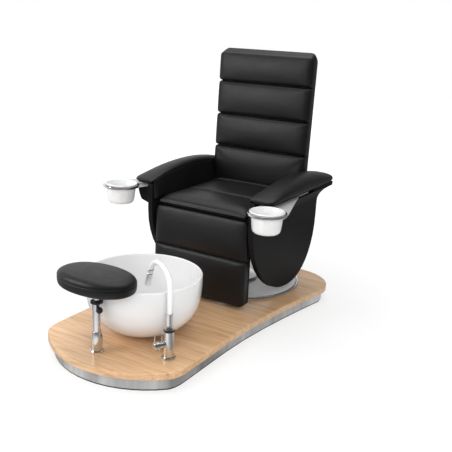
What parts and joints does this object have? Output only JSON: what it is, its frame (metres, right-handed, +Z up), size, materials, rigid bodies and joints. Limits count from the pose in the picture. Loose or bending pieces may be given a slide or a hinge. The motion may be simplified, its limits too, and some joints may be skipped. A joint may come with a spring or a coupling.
{
  "type": "podiatry chair",
  "caption": "Padded podiatry chair on a wooden platform, with reclining back, leg rest, swing-out hand bowls, foot basin, swan-neck tap and footrest.",
  "frame": {"origin": "centre of the bounding box on the floor", "axes": "+Z up, the chair faces -Y towards the foot basin, +X to the sitter's left"},
  "size_m": [0.976, 1.55, 1.2713],
  "materials": {
    "oak_board": "satin lacquered oak",
    "brushed_steel": "brushed",
    "chrome": "polished",
    "black_leather": "fine grain, satin",
    "black_panel": "satin black laminate",
    "black_rubber": "matt",
    "white_ceramic": "glazed, glossy",
    "white_plastic": "glossy"
  },
  "bodies": {
    "base": {"platform_board": "oak_board", "plinth_band": "brushed_steel", "plinth_foot_strip": "black_rubber", "base_disc": "chrome", "pedestal_column": "brushed_steel", "foot_basin": "white_ceramic", "basin_drain": "chrome", "tap_flange": "chrome", "tap_body": "chrome", "tap_seal_ring": "black_rubber", "footrest_lower_tube": "chrome", "footrest_middle_tube": "chrome", "footrest_collar": "chrome", "footrest_bush": "black_rubber"},
    "chair": {"turntable": "brushed_steel", "seat_frame": "brushed_steel", "seat_cushion_front": "black_leather", "seat_cushion_rear": "black_leather", "side_panel_left": "black_panel", "side_panel_right": "black_panel", "arm_inner_pad_left": "black_leather", "arm_inner_pad_right": "black_leather", "armrest_board_left": "black_panel", "armrest_board_right": "black_panel", "armrest_pad_left": "black_leather", "armrest_pad_right": "black_leather", "back_hinge_rod": "brushed_steel", "leg_hinge_rod": "brushed_steel", "bracket_bolt_left": "brushed_steel", "bracket_bolt_right": "brushed_steel"},
    "backrest": {"backrest_shell": "black_leather", "backrest_cushion": "black_leather"},
    "leg_rest": {"leg_rest_board": "black_panel", "leg_rest_cushion": "black_leather"},
    "left_bowl_holder": {"bowl_bracket_left": "brushed_steel", "bowl_ring_left": "chrome"},
    "right_bowl_holder": {"bowl_bracket_right": "brushed_steel", "bowl_ring_right": "chrome"},
    "left_bowl": {"manicure_bowl_left": "white_ceramic"},
    "right_bowl": {"manicure_bowl_right": "white_ceramic"},
    "spout": {"spout_collar": "chrome", "spout_sleeve": "chrome", "spout_tube": "white_plastic", "spray_nozzle": "chrome"},
    "lever": {"tap_lever": "chrome"},
    "diverter": {"diverter_pin": "chrome"},
    "clamp": {"clamp_knob": "black_rubber"},
    "footrest_post": {"footrest_stem": "chrome"},
    "footrest_top": {"footrest_plate": "black_panel", "footrest_pad": "black_leather"}
  },
  "joints": [
    {"name": "chair_swivel", "type": "hinge", "parent": "base", "child": "chair", "pos_m": [0, 0.438, 0.3603], "axis": [0, 0, 1], "range_deg": [-90, 90]},
    {"name": "backrest_recline", "type": "hinge", "parent": "chair", "child": "backrest", "pos_m": [0, 0.643, 0.556], "axis": [-1, 0, 0], "range_deg": [0, 45]},
    {"name": "leg_rest_lift", "type": "hinge", "parent": "chair", "child": "leg_rest", "pos_m": [0, 0.088, 0.523], "axis": [-1, 0, 0], "range_deg": [0, 16]},
    {"name": "left_bowl_holder_swing", "type": "hinge", "parent": "chair", "child": "left_bowl_holder", "pos_m": [0.335, 0.45, 0.6075], "axis": [0, 0, 1], "range_deg": [0, 60]},
    {"name": "right_bowl_holder_swing", "type": "hinge", "parent": "chair", "child": "right_bowl_holder", "pos_m": [-0.335, 0.45, 0.6075], "axis": [0, 0, -1], "range_deg": [0, 60]},
    {"name": "left_bowl_lift_out", "type": "slide", "parent": "left_bowl_holder", "child": "left_bowl", "axis": [0, 0, 1], "range_m": [0, 0.1]},
    {"name": "right_bowl_lift_out", "type": "slide", "parent": "right_bowl_holder", "child": "right_bowl", "axis": [0, 0, 1], "range_m": [0, 0.1]},
    {"name": "spout_swivel", "type": "hinge", "parent": "base", "child": "spout", "pos_m": [0.243, -0.535, 0.2096], "axis": [0, 0, 1], "range_deg": [-35, 15]},
    {"name": "tap_lever_turn", "type": "hinge", "parent": "base", "child": "lever", "pos_m": [0.22243, -0.57536, 0.148], "axis": [-0.454, -0.891, 0], "range_deg": [-45, 45]},
    {"name": "diverter_pull", "type": "slide", "parent": "base", "child": "diverter", "axis": [0, 0, 1], "range_m": [0, 0.008]},
    {"name": "clamp_knob_turn", "type": "hinge", "parent": "base", "child": "clamp", "pos_m": [-0.01606, -0.66231, 0.276], "axis": [0.8526, -0.5225, 0], "range_deg": [-180, 180]},
    {"name": "footrest_height", "type": "slide", "parent": "base", "child": "footrest_post", "axis": [0, 0, 1], "range_m": [0, 0.1]},
    {"name": "footrest_pad_turn", "type": "hinge", "parent": "footrest_post", "child": "footrest_top", "pos_m": [-0.028, -0.655, 0.3547], "axis": [0, 0, 1], "range_deg": [-45, 45]}
  ]
}
